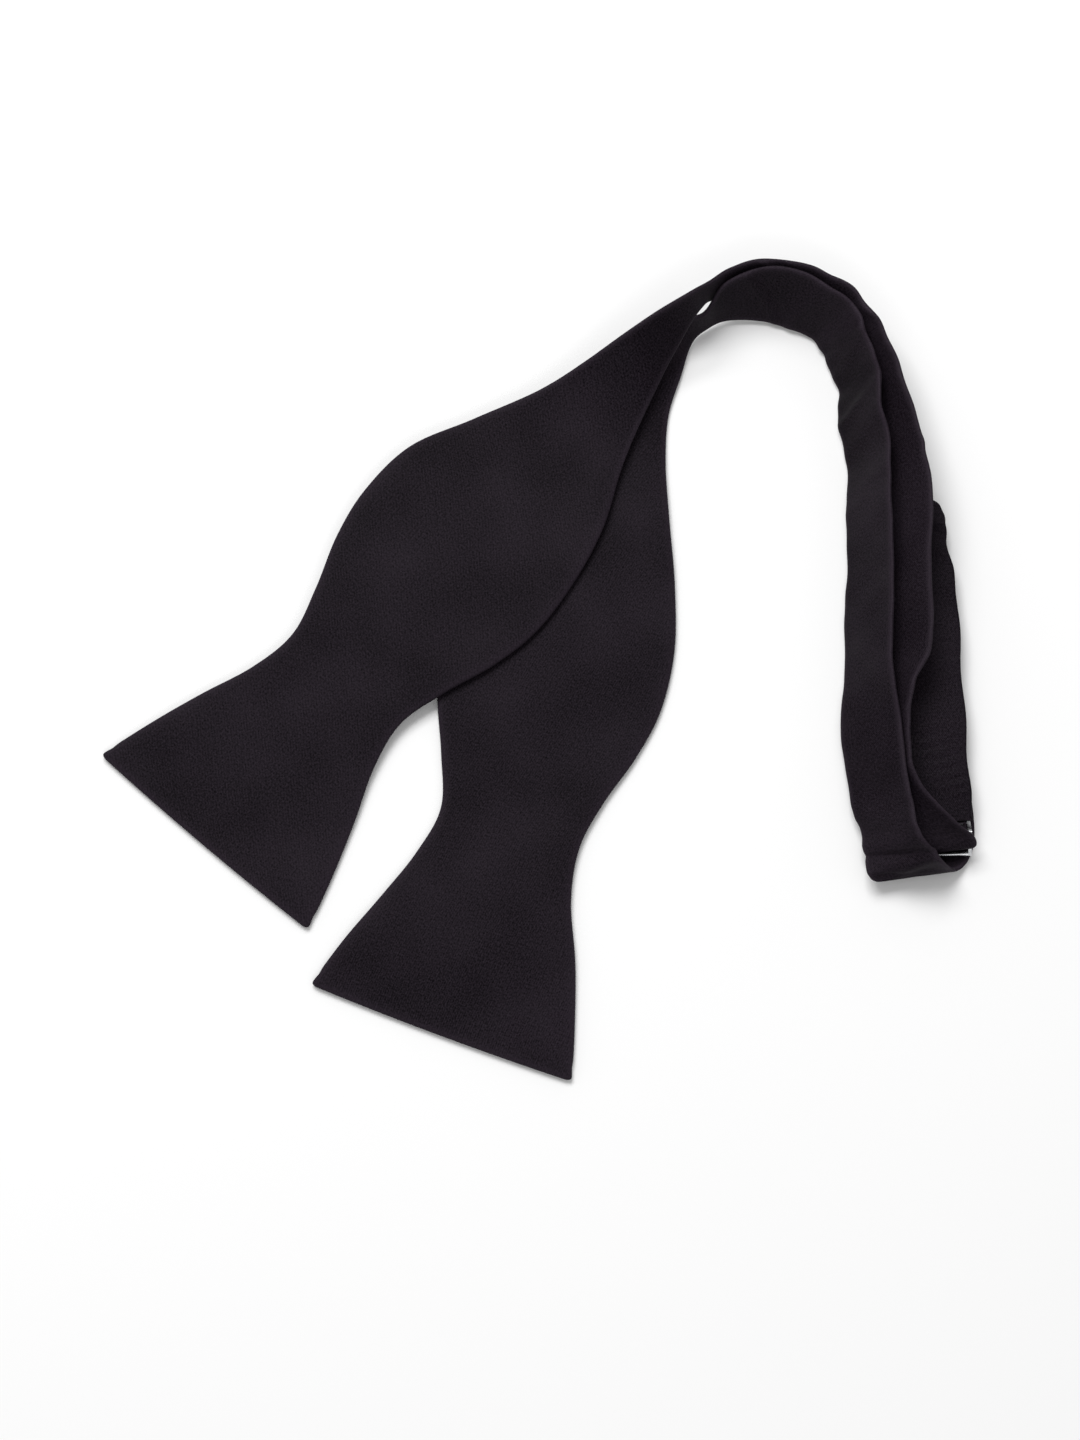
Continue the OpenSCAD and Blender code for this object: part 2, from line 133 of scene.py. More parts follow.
# Thickness of the whole sewn blade and band, and of one layer of their cloth
BLADE_T, BAND_T = 1.8, 1.1
BLADE_CLOTH, BAND_CLOTH = 0.4, 0.22
# Half the gap between the two panels along their seam
SEAM = 0.03
# How far the turned-in edge reaches inside: a length, and a share of the rim's radius
TURN_IN, TURN_IN_SHARE = 0.3, 0.25
# Radius of the rounded rims, and of the blades' tip corners seen from above
BLADE_RIM, BAND_RIM, TIP_RIM, TIP_CORNER = 1.25, 0.8, 1.1, 2.2
# The seam allowance inside a blade ends between these distances from the edge
ALLOWANCE_START, ALLOWANCE_END, ALLOWANCE_T = 6, 8.5, 0.05
# How far the tip's edge bows outwards, and the deepest crease that the face's cloth can hold
TIP_BOW, CREASE_FLOOR = 0.6, -0.16
# Width of the paler edge, which is partly a painted highlight where the rims catch light and partly
# wear, and the lining's distance from the edges and from the cloth
EDGE_SHEEN_AND_WEAR_WIDTH = 1.6
LINING_MARGIN, LINING_GAP, LINING_START = 1.5, 0.08, 0.13
# Half thickness and rim of the strap's way back, which is one folded cloth
RETURN_HALF_T, RETURN_RIM = 0.5, 0.7


def at(line, t):
    """Smooth values through the stations, at each t counted in stations."""
    t = np.atleast_1d(np.asarray(t, float))
    last = len(line) - 1
    i = np.minimum(np.floor(t).astype(int), last - 1)
    a, b = line[np.maximum(i - 1, 0)], line[i]
    c, d = line[i + 1], line[np.minimum(i + 2, last)]
    k = (t - i)[:, None]
    return 0.5 * (2 * b + (c - a) * k + (2 * a - 5 * b + 4 * c - d) * k**2
                  + (3 * b - a - 3 * c + d) * k**3)


def frames(line, t):
    """Centre, width direction, normal and half width at each t."""
    s = at(line, t)
    last = len(line) - 1
    ahead = at(line, np.minimum(t + 0.02, last))[:, :3] - at(line, np.maximum(t - 0.02, 0))[:, :3]
    az, slope = np.radians(s[:, 3]), np.radians(s[:, 4])
    w = np.stack([np.cos(slope) * np.cos(az), np.cos(slope) * np.sin(az), np.sin(slope)], 1)
    n = np.cross(ahead, w)
    n /= np.linalg.norm(n, axis=1)[:, None]
    return s[:, :3], w, n, s[:, 5]


def bump(x, centre, width):
    return np.exp(-((x - centre) / width) ** 2)


def step(x, a, b):
    k = np.clip((x - a) / (b - a), 0, 1)
    return k * k * (3 - 2 * k)


# ---------------------------------------------------------------- how the cloth lies
# Each function gives the lift along the normal, in millimetres, at t and at u across the width.
def lower_lift(t, u):
    lift = 0.12 * np.sin(2.1 * t + 1.3 * u) * step(t, 9, 12)
    lift += 0.22 * (1 + np.sin(0.9 * t + 1.7 * u)) * step(t, 0.2, 1.5) * (1 - step(t, 10, 12))
    # Pinched folds where the band goes round the arch
    lift += 0.7 * bump(t, 19.2, 0.28) * (0.6 + 0.4 * u) - 0.9 * bump(t, 19.95 + 0.1 * u, 0.2)
    lift += 0.7 * bump(t, 20.6, 0.3) - 0.6 * bump(t, 21.35 - 0.15 * u, 0.26)
    lift += 0.5 * bump(t, 22.1, 0.35) - 0.3 * bump(t, 22.9 + 0.1 * u, 0.25)
    lift += 0.5 * bump(t, 17.8 + 0.3 * u, 0.25) - 0.5 * bump(t, 18.5 + 0.2 * u, 0.2)
    lift += 0.3 * np.sin(4.3 * t - 1.9 * u) * step(t, 22.5, 23.5) * (1 - step(t, 26.5, 27.5))
    lift += 0.06 * np.sin(13 * t + 3 * u) * step(t, 17, 18) * (1 - step(t, 26.5, 27.5))
    # The crease above the bottom roll, and the roll's own soft folds
    lift += 0.3 * bump(t, 27.4, 0.2) - 0.8 * bump(t, 27.9 + 0.1 * u, 0.15)
    lift += 0.5 * bump(t, 28.35, 0.22) + 0.33 * np.sin(5.5 * u + 6 * t) * bump(t, 28.5, 0.35)
    return lift * (1 - step(t, 29, 29.8))


def upper_lift(t, u):
    lift = 0.14 * np.sin(1.9 * t - 1.1 * u) * step(t, 6, 9)
    lift += 0.26 * (1 + np.sin(1.05 * t - 1.5 * u + 2)) * step(t, 0.2, 1.5) * (1 - step(t, 9, 11))
    lift += 0.45 * bump(t, 18.2 - 0.2 * u, 0.16) - 0.5 * bump(t, 18.7 - 0.2 * u, 0.16)
    lift += 0.5 * bump(t, 19.2 - 0.2 * u, 0.18) - 0.45 * bump(t, 19.85, 0.2)
    lift += 0.3 * np.sin(4.7 * t + 1.9 * u) * step(t, 20.5, 21.5) * (1 - step(t, 27, 28))
    lift += 0.1 * np.sin(11 * t + 4 * u) * step(t, 19, 20) * (1 - step(t, 27, 28))
    lift += 0.35 * bump(t, 24.6, 0.28) * step(u, -0.2, 1) - 0.4 * bump(t, 25.4, 0.25) * step(u, 0, 1)
    return lift * (1 - step(t, 28.2, 29.2))


def return_lift(t, u):
    fine = np.sin(38 * t + 2.5 * np.sin(2.3 * u + t)) * (0.5 + 0.5 * np.sin(4.1 * t + 2.2 * u))
    lift = 0.07 * fine * step(t, 0.3, 1.2) * (1 - 0.6 * step(t, 2.2, 4))
    lift += 0.16 * np.sin(7 * t + 1.5 * u) * step(t, 0.5, 1.5)
    # The shoulder is lumpy, with one slanting fold across it
    lift += 0.45 * bump(t + 0.3 * u, 5.5, 0.15) - 0.55 * bump(t + 0.3 * u, 5.8, 0.13)
    lift += 0.4 * bump(t + 0.2 * u, 6.2, 0.2) + 0.16 * np.sin(9 * u + 3) * step(t, 5.8, 6.6)
    return lift


# Each function gives the small creases of the face alone, in millimetres.
def lower_crease(t, u):
    fold = 0.28 * bump(t + 0.35 * u, 16.75, 0.13) - 0.24 * bump(t + 0.35 * u, 17.05, 0.1)
    fold += 0.3 * bump(t - 0.22 * u, 18.95, 0.1) - 0.25 * bump(t - 0.22 * u, 19.15, 0.08)
    fold += 0.25 * bump(t + 0.3 * u, 20.35, 0.1) - 0.2 * bump(t + 0.1 * u, 21.9, 0.08)
    fold += 0.4 * bump(t, 28.35, 0.22) - 0.4 * bump(t + 0.12 * u, 27.9, 0.09)
    return fold + 0.05 * np.sin(17 * t - 5 * u) * np.sin(2.3 * t + 2 * u) * step(t, 16, 17)


def upper_crease(t, u):
    fold = 0.35 * bump(t + 0.4 * u, 17.3, 0.12) - 0.28 * bump(t + 0.4 * u, 17.6, 0.1)
    fold += 0.35 * bump(t - 0.35 * u, 18.5, 0.12) - 0.28 * bump(t - 0.35 * u, 18.8, 0.1)
    fold += 0.25 * bump(t + 0.2 * u, 20.3, 0.1) - 0.2 * bump(t - 0.3 * u, 22.2, 0.1)
    return fold + 0.06 * np.sin(15 * t + 4 * u) * np.sin(2.7 * t - 2 * u) * step(t, 16, 17)


def no_crease(t, u):
    return 0 * t * u


# Each function gives how far an edge moves outwards, in millimetres. side is -1 or 1.
def lower_edge(t, side):
    nub = 0.5 * bump(t, 0.05, 0.08) - 0.25 * bump(t, 0.3, 0.1)
    if side < 0:
        return nub + 0.8 * bump(t, 28.9, 0.3) + 0.3 * np.sin(5 * t) * bump(t, 20, 1.5)
    return nub + 0.3 * np.sin(9 * t) * bump(t, 19.3, 1.1)


def upper_edge(t, side):
    nub = 0.5 * bump(t, 0.05, 0.08) - 0.25 * bump(t, 0.3, 0.1)
    if side < 0:
        return nub
    return nub + 0.45 * np.sin(8.6 * t + 0.9) * bump(t, 18.9, 0.9) + 0.4 * bump(t, 21.3, 0.1)


def return_edge(t, side):
    if side < 0:
        return 0 * t
    return 0.7 * bump(t, 6.35, 0.3) - 0.45 * bump(t, 5.55, 0.16) + 0.25 * np.sin(6 * t) * step(t, 0.5, 1)


# How finely the meshes follow the cloth: points between the two rims, and rows to a station
PANEL_ACROSS, LINING_ACROSS, RETURN_ACROSS = 26, 16, 20
PANEL_PER_STATION, RETURN_PER_STATION = 16, 44
# Where the points of a rim lie, as shares of its radius
RIM = np.array([0.0, 0.03, 0.11, 0.24, 0.42, 0.66, 1.0])


def shape_of(d):
    """Height of a rounded rim, from 0 at the edge to 1 at one radius in."""
    return np.sqrt(np.clip(1 - (1 - np.clip(d, 0, 1)) ** 2, 0, 1))


def across_strip(left, right, radius, count):
    """Distances from the centre line, close together on the two rims and even between them."""
    share = np.linspace(-1, 1, count + 2)[1:-1]
    return np.concatenate([
        -left + RIM * radius,
        np.interp(share, [-1, 1], [-left + radius, right - radius]),
        (right - RIM * radius)[::-1]])


class Half:
    """One cloth half: its line, the way it lies, and where it gets thinner at the neck."""

    def __init__(self, line, lift, crease, edge, neck):
        self.line, self.lift, self.crease, self.edge, self.neck = line, lift, crease, edge, neck
        fine = np.linspace(0, len(line) - 1, 40 * (len(line) - 1) + 1)
        c = at(line, fine)[:, :3]
        run = np.concatenate([[0], np.cumsum(np.linalg.norm(np.diff(c, axis=0), axis=1))])
        self.fine, self.run = fine, run

    def run_at(self, t):
        return np.interp(t, self.fine, self.run)

    def thin(self, t):
        """0 on the blade and 1 on the band."""
        return step(t, self.neck - 2.2, self.neck)

    def thickness(self, t):
        """Half the whole thickness, and the thickness of one layer of cloth."""
        thin = self.thin(t)
        return (BLADE_T + (BAND_T - BLADE_T) * thin) / 2, BLADE_CLOTH + (BAND_CLOTH - BLADE_CLOTH) * thin

    def panel(self, name, t0, t1, up, closed_tip=False):
        """The face (up=1) or the back (up=-1): one closed sheet with turned-in edges."""
        count = max(2, int(round((t1 - t0) * PANEL_PER_STATION)))
        t = np.linspace(t0, t1, count + 1)
        if closed_tip:
            near = np.interp(RIM[1:] * TIP_CORNER, self.run, self.fine)
            t = np.unique(np.concatenate([[0], near, t[t > near[-1] + 0.02]]))
        c, w, n, hw = frames(self.line, t)
        thin = self.thin(t)
        half, cloth = self.thickness(t)
        r = BLADE_RIM + (BAND_RIM - BLADE_RIM) * thin
        left, right = hw + self.edge(t, -1), hw + self.edge(t, 1)
        tip = np.ones(len(t))
        if closed_tip:
            run = self.run_at(t)
            tip = shape_of(run / TIP_RIM)
            round_off = TIP_CORNER * (1 - shape_of(run / TIP_CORNER))
            left, right = left - round_off, right - round_off
        rings, inner, uv, rim = [], [], [], []
        for i in range(len(t)):
            ra = r[i]
            s = across_strip(left[i], right[i], ra, PANEL_ACROSS)
            d = np.minimum(s + left[i], right[i] - s)
            rise = shape_of(d / ra)
            h = SEAM + (half[i] - SEAM) * rise * tip[i]
            u = s / hw[i]
            lift = self.lift(t[i], u)
            if up > 0:
                # The seam allowance inside shows as a faint step along each edge of the face
                inside = 1 - step(d, ALLOWANCE_START, ALLOWANCE_END)
                h += ALLOWANCE_T * (1 - thin[i]) * inside * rise * tip[i]
                h += np.maximum(self.crease(t[i], u), CREASE_FLOOR) * rise
            bow = np.cross(n[i], w[i]) * TIP_BOW * (1 - step(t[i], 0, 0.6)) * (1 - u**2)[:, None]
            rings.append(c[i] + bow + w[i] * s[:, None] + n[i] * (up * h + lift)[:, None])
            inset = TURN_IN + TURN_IN_SHARE * ra
            si = np.interp(s, [s[0], s[-1]], [s[0] + inset, s[-1] - inset])
            di = np.minimum(si + left[i], right[i] - si)
            hi = np.maximum(SEAM + (half[i] - SEAM) * shape_of(di / ra) * tip[i] - cloth[i], SEAM * 0.5)
            inner.append(c[i] + bow + w[i] * si[:, None]
                         + n[i] * (up * hi + self.lift(t[i], si / hw[i]))[:, None])
            uv.append(np.stack([s, np.full(len(s), self.run_at(t[i]))], 1))
            # Paler edges: partly a painted highlight where the rounded rims catch light, partly wear
            edge = 1 - np.clip(d / EDGE_SHEEN_AND_WEAR_WIDTH, 0, 1)
            if closed_tip:
                edge = np.maximum(edge, 1 - np.clip(self.run_at(t[i]) / EDGE_SHEEN_AND_WEAR_WIDTH, 0, 1))
            rim.append(edge)
        return sheet_mesh(name, np.array(rings), np.array(inner), np.array(uv), np.array(rim), up)

    def lining(self, name, t0, t1, start=0.0):
        """The interlining: a flat strip with square edges, between the two panels."""
        count = max(2, int(round((t1 - t0) * PANEL_PER_STATION)))
        t = np.linspace(t0 + start, t1, count + 1)
        c, w, n, hw = frames(self.line, t)
        half, cloth = self.thickness(t)
        half = half - LINING_GAP - cloth
        top, low, uv = [], [], []
        for i in range(len(t)):
            s = np.linspace(-hw[i] + LINING_MARGIN, hw[i] - LINING_MARGIN, LINING_ACROSS)
            lift = self.lift(t[i], s / hw[i])
            top.append(c[i] + w[i] * s[:, None] + n[i] * (half[i] + lift)[:, None])
            low.append(c[i] + w[i] * s[:, None] + n[i] * (lift - half[i])[:, None])
            uv.append(np.stack([s, np.full(len(s), self.run_at(t[i]))], 1))
        uv = np.array(uv)
        return sheet_mesh(name, np.array(top), np.array(low), uv, 0 * uv[:, :, 0], 1)


def sheet_mesh(name, outer, inner, uv, rim, up):
    """Closes two grids of points into one solid, with sharp edges only at its two cut ends."""
    rows, cols = outer.shape[:2]
    count = rows * cols
    grid = np.arange(count).reshape(rows, cols)
    points = np.concatenate([outer.reshape(-1, 3), inner.reshape(-1, 3)]) - ORIGIN
    a, b, c, d = grid[:-1, :-1], grid[:-1, 1:], grid[1:, 1:], grid[1:, :-1]
    quads = [np.stack([a, b, c, d], -1).reshape(-1, 4)]
    quads.append(np.stack([d, c, b, a], -1).reshape(-1, 4) + count)
    for col, turn in ((0, 1), (cols - 1, -1)):
        p, q = grid[:-1, col], grid[1:, col]
        quads.append(np.stack([p, q, q + count, p + count][::turn], -1))
    ends = []
    for line, turn in ((grid[0], -1), (grid[-1], 1)):
        p, q = line[:-1], line[1:]
        ends.append(np.stack([p, q, q + count, p + count][::turn], -1))
    quads = np.concatenate(quads + ends)
    if up < 0:
        quads = quads[:, ::-1]
    smooth = len(quads) - sum(len(e) for e in ends)
    mesh = bpy.data.meshes.new(name)
    mesh.from_pydata((points * MM).tolist(), [], quads.tolist())
    flags = np.ones(len(quads), bool)
    flags[smooth:] = False
    mesh.polygons.foreach_set("use_smooth", flags)
    layer = mesh.uv_layers.new(name="Cloth")
    loops = np.zeros(len(mesh.loops), int)
    mesh.loops.foreach_get("vertex_index", loops)
    flat = np.concatenate([uv.reshape(-1, 2), uv.reshape(-1, 2)])
    layer.data.foreach_set("uv", flat[loops].astype(np.float32).ravel())
    # The rim attribute carries the paler edges, partly a painted highlight and partly wear; the inner
    # surface gets none
    tint = mesh.attributes.new("rim", "FLOAT", "POINT")
    tint.data.foreach_set("value", np.concatenate([rim.ravel(), rim.ravel() * 0]).astype(np.float32))
    sharp_ends(mesh, smooth)
    mesh.validate()
    obj = bpy.data.objects.new(name, mesh)
    bpy.context.scene.collection.objects.link(obj)
    return obj


def sharp_ends(mesh, first_flat):
    """Marks the edges between the smooth sides and the flat cut ends as sharp."""
    flat_vertices, end_edges = set(), set()
    for p in mesh.polygons[first_flat:]:
        flat_vertices.update(p.vertices)
        end_edges.update(tuple(sorted(k)) for k in p.edge_keys)
    side_edges = set()
    for p in mesh.polygons[:first_flat]:
        if flat_vertices.intersection(p.vertices):
            side_edges.update(tuple(sorted(k)) for k in p.edge_keys)
    both = end_edges & side_edges
    sharp = mesh.attributes.new("sharp_edge", "BOOLEAN", "EDGE")
    values = [tuple(sorted(e.vertices)) in both for e in mesh.edges]
    sharp.data.foreach_set("value", values)


# ---------------------------------------------------------------- materials
def nodes_of(mat):
    mat.use_nodes = True
    tree = mat.node_tree
    tree.nodes.clear()
    out = tree.nodes.new("ShaderNodeOutputMaterial")
    shader = tree.nodes.new("ShaderNodeBsdfPrincipled")
    tree.links.new(shader.outputs[0], out.inputs[0])
    return tree, shader


def add(tree, kind, **inputs):
    node = tree.nodes.new(kind)
    for key, value in inputs.items():
        if key in node.inputs:
            node.inputs[key].default_value = value
        else:
            setattr(node, key, value)
    return node


def maths(tree, operation, a, b):
    node = add(tree, "ShaderNodeMath", operation=operation)
    for slot, value in ((0, a), (1, b)):
        if isinstance(value, (int, float)):
            node.inputs[slot].default_value = value
        else:
            tree.links.new(value, node.inputs[slot])
    return node.outputs[0]


def ramp(tree, source, stops):
    node = tree.nodes.new("ShaderNodeValToRGB")
    tree.links.new(source, node.inputs[0])
    points = node.color_ramp.elements
    while len(points) < len(stops):
        points.new(0.5)
    for point, (place, colour) in zip(points, stops):
        point.position, point.color = place, (*colour, 1)
    return node.outputs[0]


def satin(name, dark, light, roughness, on_cloth=True):
    """Black satin: a fine diagonal weave, slubs, slow changes of tone, and paler edges that are partly a
    painted highlight where the rims catch light and partly wear.
    The cloth pieces have their own flat coordinates in millimetres; small hems use the row's."""
    mat = bpy.data.materials.new(name)
    tree, shader = nodes_of(mat)
    if on_cloth:
        uv = add(tree, "ShaderNodeUVMap", uv_map="Cloth")
    else:
        uv = add(tree, "ShaderNodeMapping")
        uv.inputs["Scale"].default_value = (1000, 1000, 1000)
        tree.links.new(add(tree, "ShaderNodeTexCoord").outputs["Object"], uv.inputs[0])
    fine = add(tree, "ShaderNodeMapping")
    fine.inputs["Rotation"].default_value = (0, 0, math.radians(38))
    tree.links.new(uv.outputs[0], fine.inputs[0])
    rib = add(tree, "ShaderNodeTexWave", Scale=0.85, Distortion=1.2, Detail=2.0)
    rib.inputs["Detail Scale"].default_value = 2.5
    tree.links.new(fine.outputs[0], rib.inputs["Vector"])
    yarn = add(tree, "ShaderNodeMapping")
    yarn.inputs["Scale"].default_value = (5.0, 0.9, 1)
    tree.links.new(uv.outputs[0], yarn.inputs[0])
    slub = add(tree, "ShaderNodeTexNoise", Scale=1.0, Detail=3.0, Roughness=0.6)
    tree.links.new(yarn.outputs[0], slub.inputs["Vector"])
    grain = add(tree, "ShaderNodeTexNoise", Scale=2.2, Detail=2.0, Roughness=0.7)
    tree.links.new(uv.outputs[0], grain.inputs["Vector"])
    slow = add(tree, "ShaderNodeTexNoise", Scale=0.035, Detail=2.0, Roughness=0.5)
    tree.links.new(uv.outputs[0], slow.inputs["Vector"])
    weave = maths(tree, "ADD", maths(tree, "MULTIPLY", rib.outputs["Fac"], 0.35),
                  maths(tree, "MULTIPLY", slub.outputs["Fac"], 0.65))
    tone = maths(tree, "ADD", maths(tree, "MULTIPLY", weave, 0.3),
                 maths(tree, "MULTIPLY", slow.outputs["Fac"], 0.22))
    tone = maths(tree, "ADD", tone, maths(tree, "MULTIPLY", grain.outputs["Fac"], 0.48))
    colour = ramp(tree, tone, [(0.39, dark), (0.62, light)])
    # Paler edges from the rim attribute: partly a painted highlight where the rims catch light, partly
    # wear
    rim = add(tree, "ShaderNodeAttribute", attribute_name="rim")
    edge = add(tree, "ShaderNodeMix", data_type="RGBA")
    tree.links.new(maths(tree, "MULTIPLY", rim.outputs["Fac"], 0.4), edge.inputs[0])
    tree.links.new(colour, edge.inputs[6])
    edge.inputs[7].default_value = (*[c * 1.9 for c in light], 1)
    tree.links.new(edge.outputs[2], shader.inputs["Base Color"])
    rough = maths(tree, "ADD", maths(tree, "MULTIPLY", weave, 0.16), roughness - 0.08)
    tree.links.new(rough, shader.inputs["Roughness"])
    shader.inputs["Specular IOR Level"].default_value = 0.03
    relief = add(tree, "ShaderNodeBump", Strength=0.35, Distance=0.00006)
    tree.links.new(weave, relief.inputs["Height"])
    soft = add(tree, "ShaderNodeBump", Strength=0.25, Distance=0.0004)
    tree.links.new(slow.outputs["Fac"], soft.inputs["Height"])
    tree.links.new(relief.outputs[0], soft.inputs["Normal"])
    tree.links.new(soft.outputs[0], shader.inputs["Normal"])
    return mat


def canvas(name, dark, light):
    """Interlining: a plain open weave in undyed yarn."""
    mat = bpy.data.materials.new(name)
    tree, shader = nodes_of(mat)
    place = add(tree, "ShaderNodeTexCoord")
    warp = add(tree, "ShaderNodeTexWave", Scale=700.0, Distortion=1.5, Detail=2.0)
    weft = add(tree, "ShaderNodeTexWave", Scale=700.0, Distortion=1.5, Detail=2.0, bands_direction="Y")
    for wave in (warp, weft):
        tree.links.new(place.outputs["Object"], wave.inputs["Vector"])
    both = maths(tree, "MAXIMUM", warp.outputs["Fac"], weft.outputs["Fac"])
    tree.links.new(ramp(tree, both, [(0.2, dark), (0.9, light)]), shader.inputs["Base Color"])
    shader.inputs["Roughness"].default_value = 0.9
    relief = add(tree, "ShaderNodeBump", Strength=0.6, Distance=0.0001)
    tree.links.new(both, relief.inputs["Height"])
    tree.links.new(relief.outputs[0], shader.inputs["Normal"])
    return mat


def plated(name):
    """Nickel plate with fine polishing lines and a little dulling."""
    mat = bpy.data.materials.new(name)
    tree, shader = nodes_of(mat)
    place = add(tree, "ShaderNodeTexCoord")
    stretch = add(tree, "ShaderNodeMapping")
    stretch.inputs["Scale"].default_value = (300, 2500, 2500)
    tree.links.new(place.outputs["Object"], stretch.inputs[0])
    lines = add(tree, "ShaderNodeTexNoise", Scale=1.0, Detail=4.0, Roughness=0.6)
    tree.links.new(stretch.outputs[0], lines.inputs["Vector"])
    dull = add(tree, "ShaderNodeTexNoise", Scale=240.0, Detail=3.0)
    tree.links.new(place.outputs["Object"], dull.inputs["Vector"])
    nickel = ramp(tree, dull.outputs["Fac"], [(0.35, (0.5, 0.5, 0.52)), (0.65, (0.8, 0.81, 0.83))])
    tree.links.new(nickel, shader.inputs["Base Color"])
    rough = maths(tree, "ADD", maths(tree, "MULTIPLY", lines.outputs["Fac"], 0.22), 0.12)
    tree.links.new(rough, shader.inputs["Roughness"])
    shader.inputs["Metallic"].default_value = 1.0
    relief = add(tree, "ShaderNodeBump", Strength=0.15, Distance=0.00003)
    tree.links.new(lines.outputs["Fac"], relief.inputs["Height"])
    tree.links.new(relief.outputs[0], shader.inputs["Normal"])
    return mat


def twisted(name):
    """Sewing thread: two plies twisted round each other."""
    mat = bpy.data.materials.new(name)
    tree, shader = nodes_of(mat)
    place = add(tree, "ShaderNodeTexCoord")
    turn = add(tree, "ShaderNodeMapping")
    turn.inputs["Rotation"].default_value = (0, 0, math.radians(35))
    tree.links.new(place.outputs["Object"], turn.inputs[0])
    ply = add(tree, "ShaderNodeTexWave", Scale=1500.0, Distortion=0.8, Detail=1.0)
    tree.links.new(turn.outputs[0], ply.inputs["Vector"])
    yarn = ramp(tree, ply.outputs["Fac"], [(0.2, (0.012, 0.01, 0.015)), (0.8, (0.05, 0.045, 0.055))])
    tree.links.new(yarn, shader.inputs["Base Color"])
    shader.inputs["Roughness"].default_value = 0.7
    relief = add(tree, "ShaderNodeBump", Strength=0.5, Distance=0.00005)
    tree.links.new(ply.outputs["Fac"], relief.inputs["Height"])
    tree.links.new(relief.outputs[0], shader.inputs["Normal"])
    return mat


DARK, LIGHT = (0.001, 0.0004, 0.0012), (0.024, 0.0183, 0.025)
FACE = satin("satin_face", DARK, LIGHT, 0.5)
BACK = satin("satin_back", DARK, LIGHT, 0.54)
HEM = satin("satin_hem", DARK, LIGHT, 0.54, on_cloth=False)
LINING = canvas("lining", (0.2, 0.19, 0.16), (0.42, 0.4, 0.35))
METAL = plated("nickel")
THREAD = twisted("thread")


def finish_piece(obj, material, stands_for=()):
    obj.data.materials.clear()
    obj.data.materials.append(material)
    if stands_for:
        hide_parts(*stands_for)
    return obj


# ---------------------------------------------------------------- cloth pieces
lower = Half(LOWER, lower_lift, lower_crease, lower_edge, 12)
upper = Half(UPPER, upper_lift, upper_crease, upper_edge, 10.8)
home = Half(RETURN, return_lift, no_crease, return_edge, -3)

ARCH_TOP = 17.0
LOWER_TURN = 29.0
UPPER_NECK = 10.5
UPPER_TURN = 30.0
LOWER_END = len(LOWER) - 1.0
UPPER_END = len(UPPER) - 1.0


def cloth_set(half, names, t0, t1, place, stands_for, closed_tip=False):
    """The face, the back and the lining of one stretch, each placed by the same call."""
    face = half.panel(names + "_face_cloth", t0, t1, 1, closed_tip=closed_tip)
    back = half.panel(names + "_back_cloth", t0, t1, -1, closed_tip=closed_tip)
    lining = half.lining(names + "_lining_cloth", t0, t1, start=LINING_START if closed_tip else 0)
    length = float(half.run_at(t1) - half.run_at(t0)) * MM
    for obj, kind, mat, slot_name in ((face, "face", FACE, "satin"), (back, "back", BACK, "satin_back"),
                                      (lining, "lining", LINING, "lining_cloth")):
        nodes = [f"{n}_{kind}" for n in stands_for]
        finish_piece(obj, mat, nodes)
        place(obj)


def blended():
    return lambda obj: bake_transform(obj)


def riding(body):
    return lambda obj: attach(obj, body)


cloth_set(lower, "lower_blade", 0, ARCH_TOP,
          blended(),
          ["lower_blade"], closed_tip=True)
cloth_set(lower, "lower_band", ARCH_TOP, LOWER_TURN,
          blended(),
          ["lower_band"])
cloth_set(lower, "lower_end", LOWER_TURN, LOWER_END, riding("pack"), ["eye_end"])

cloth_set(upper, "upper_blade", 0, UPPER_NECK,
          blended(),
          ["upper_blade"], closed_tip=True)
cloth_set(upper, "upper_neck", UPPER_NECK, ARCH_TOP,
          blended(),
          ["upper_neck"])
cloth_set(upper, "upper_band", ARCH_TOP, UPPER_TURN,
          blended(),
          ["upper_band"])
cloth_set(upper, "upper_end", UPPER_TURN, UPPER_END, riding("pack"), ["strap"])


# The strap's way back to the slide: one folded cloth, so it is a strip with rounded edges
def closed_strip(half, name):
    last = len(half.line) - 1
    t = np.linspace(0, last, last * RETURN_PER_STATION + 1)
    c, w, n, hw = frames(half.line, t)
    top, low, uv, rim = [], [], [], []
    left, right = hw + half.edge(t, -1), hw + half.edge(t, 1)
    for i in range(len(t)):
        s = across_strip(left[i], right[i], RETURN_RIM, RETURN_ACROSS)
        d = np.minimum(s + left[i], right[i] - s)
        h = SEAM + (RETURN_HALF_T - SEAM) * shape_of(d / RETURN_RIM)
        lift = half.lift(t[i], s / hw[i])
        top.append(c[i] + w[i] * s[:, None] + n[i] * (h + lift)[:, None])
        low.append(c[i] + w[i] * s[:, None] + n[i] * (lift - h)[:, None])
        uv.append(np.stack([s, np.full(len(s), half.run_at(t[i]))], 1))
        # Paler edges: partly a painted highlight where the rounded rims catch light, partly wear
        rim.append(1 - np.clip(d / EDGE_SHEEN_AND_WEAR_WIDTH, 0, 1))
    return sheet_mesh(name, np.array(top), np.array(low), np.array(uv), np.array(rim), 1)


strap_home = closed_strip(home, "strap_return_cloth")
finish_piece(strap_home, FACE, ["strap_return"])
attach(strap_home, "pack")
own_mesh(strap_home)

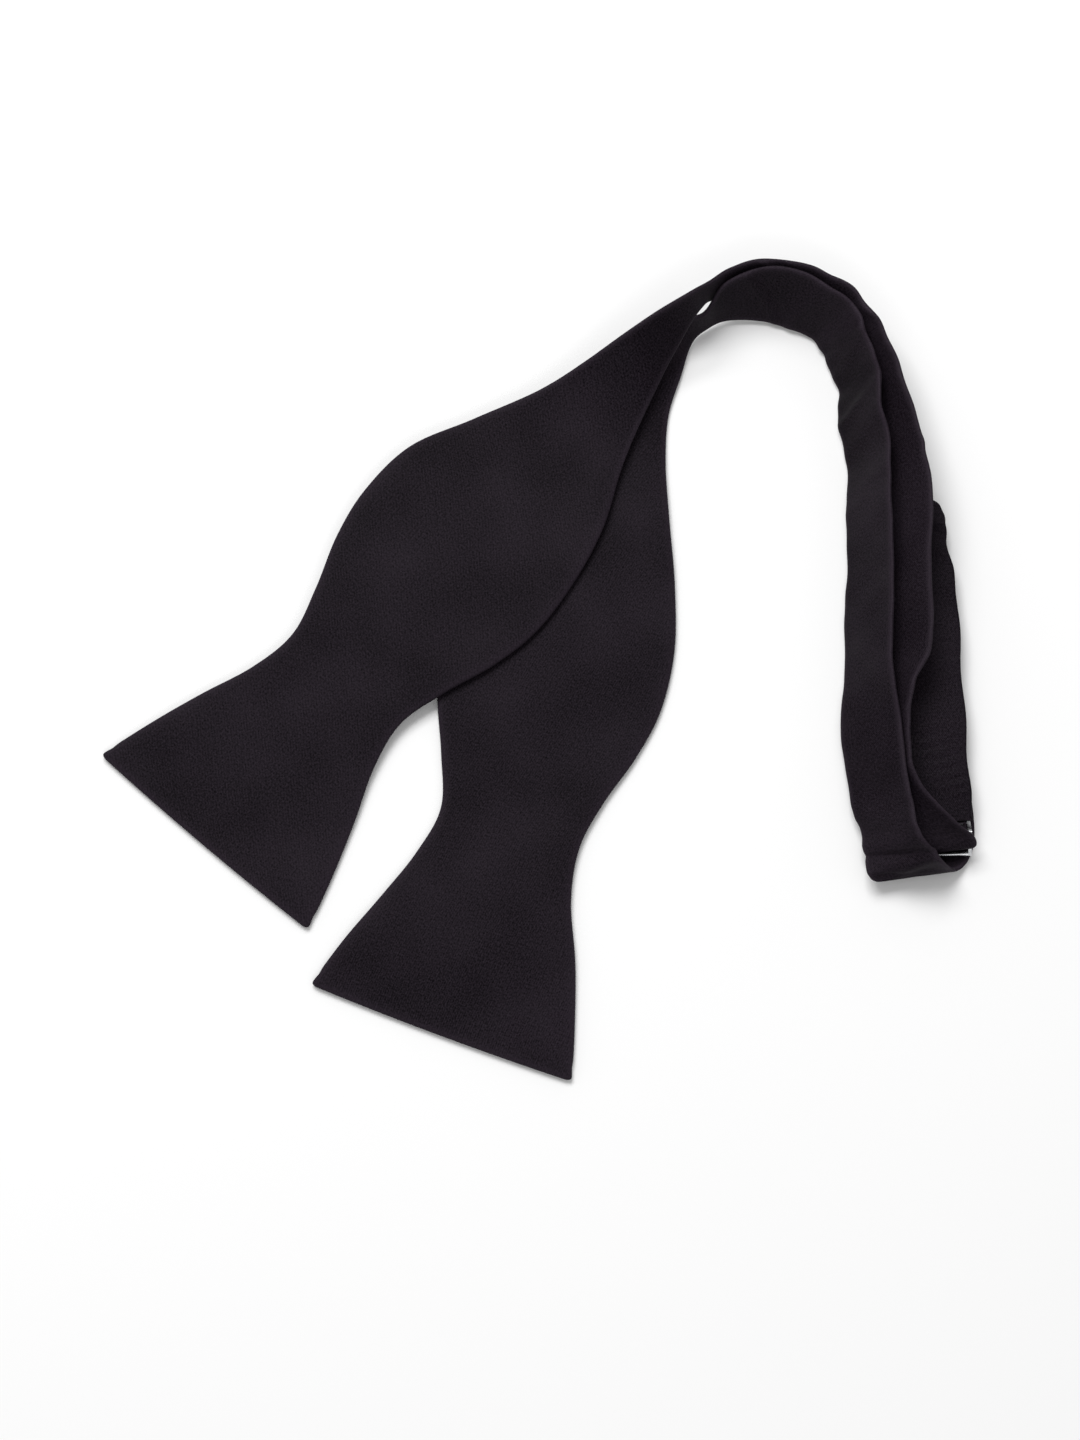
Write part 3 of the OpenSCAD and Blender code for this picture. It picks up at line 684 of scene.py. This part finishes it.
# ---------------------------------------------------------------- metal, hems and stitches
for material, nodes in ((METAL, ("slide", "hook", "eye")),
                        (HEM, ("slide_hem", "eye_hem", "hook_loop")),
                        (THREAD, ("slide_hem_stitches", "eye_hem_stitches"))):
    for node in nodes:
        for place in bpy.data.objects[node].material_slots:
            place.material = material

# ---------------------------------------------------------------- table, light and camera
floor_mesh = bpy.data.meshes.new("table")
floor_mesh.from_pydata([(-3, -3, 0), (3, -3, 0), (3, 3, 0), (-3, 3, 0)], [], [(0, 1, 2, 3)])
table = bpy.data.objects.new("table", floor_mesh)
bpy.context.scene.collection.objects.link(table)
table.location.z = cad_box[0][2] - 0.00005
paper = bpy.data.materials.new("pale_paper")
tree, shader = nodes_of(paper)
shader.inputs["Base Color"].default_value = (0.94, 0.94, 0.94, 1)
shader.inputs["Roughness"].default_value = 0.85
table.data.materials.append(paper)

world = bpy.data.worlds.new("studio")
bpy.context.scene.world = world
world.use_nodes = True
world.node_tree.nodes["Background"].inputs[0].default_value = (1, 1, 1, 1)
world.node_tree.nodes["Background"].inputs[1].default_value = 0.41


def softbox(name, place, aim, size, power):
    lamp = bpy.data.lights.new(name, "AREA")
    lamp.shape, lamp.size, lamp.size_y, lamp.energy = "RECTANGLE", size[0], size[1], power
    obj = bpy.data.objects.new(name, lamp)
    obj.location = place
    obj.rotation_euler = (Vector(aim) - Vector(place)).to_track_quat("-Z", "Y").to_euler()
    bpy.context.scene.collection.objects.link(obj)


softbox("key", (-0.25, 0.62, 1.05), (0, 0, 0), (0.8, 0.6), 12.5)
softbox("fill", (0.1, -1.1, 1.2), (0, -0.05, 0), (0.9, 0.6), 3.2)

camera = bpy.data.cameras.new("camera")
camera.sensor_fit = "VERTICAL"
camera.sensor_height = 36
camera.lens = 95.2
viewer = bpy.data.objects.new("camera", camera)
elevation, distance = math.radians(76), 0.9
target = Vector(row(0, -12.5, 0))
viewer.location = target + distance * Vector((0, -math.cos(elevation), math.sin(elevation)))
viewer.rotation_euler = (target - viewer.location).to_track_quat("-Z", "Y").to_euler()
bpy.context.scene.collection.objects.link(viewer)
bpy.context.scene.camera = viewer
bpy.context.scene.view_settings.view_transform = "Standard"
